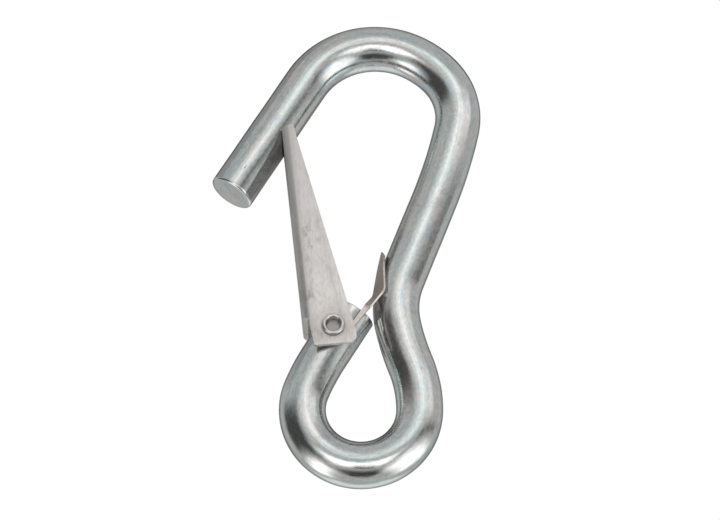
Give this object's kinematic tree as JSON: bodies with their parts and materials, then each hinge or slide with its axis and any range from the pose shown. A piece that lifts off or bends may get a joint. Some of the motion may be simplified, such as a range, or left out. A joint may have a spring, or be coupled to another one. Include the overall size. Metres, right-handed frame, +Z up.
{
  "type": "eye hook with latch",
  "caption": "Bent round-bar hook with a bowl at one end, a formed eye at the other and a sprung sheet-metal safety latch across its mouth.",
  "frame": {"origin": "the seat of the bowl: the highest point of the bowl's inner side, in the bar's middle plane, where the hook hangs on its load", "axes": "+Z up from the eye to the bowl with the hook in the XZ plane, +X from the mouth towards the shank, +Y from the rivet's rolled ring towards its domed head"},
  "size_m": [0.0653, 0.0185, 0.1199],
  "materials": {
    "zinc_plated_bar": "bright zinc plate, semi-gloss, lightly handled",
    "sheet_steel": "matte warm grey sheet, faintly smudged",
    "rivet_steel": "bright, rolled edge",
    "spring_steel": "warm grey strip"
  },
  "bodies": {
    "hook": {"hook_body": "zinc_plated_bar", "pivot_rivet": "rivet_steel", "latch_spring": "spring_steel"},
    "latch": {"latch": "sheet_steel"}
  },
  "joints": [
    {"name": "latch_pivot", "type": "hinge", "parent": "hook", "child": "latch", "pos_m": [-0.01001, 0, -0.07094], "axis": [0, 1, 0], "range_deg": [0, 36], "stiffness_Nm_per_rad": 0.11, "springref_deg": -25.78, "deforming": ["latch_spring"]}
  ]
}
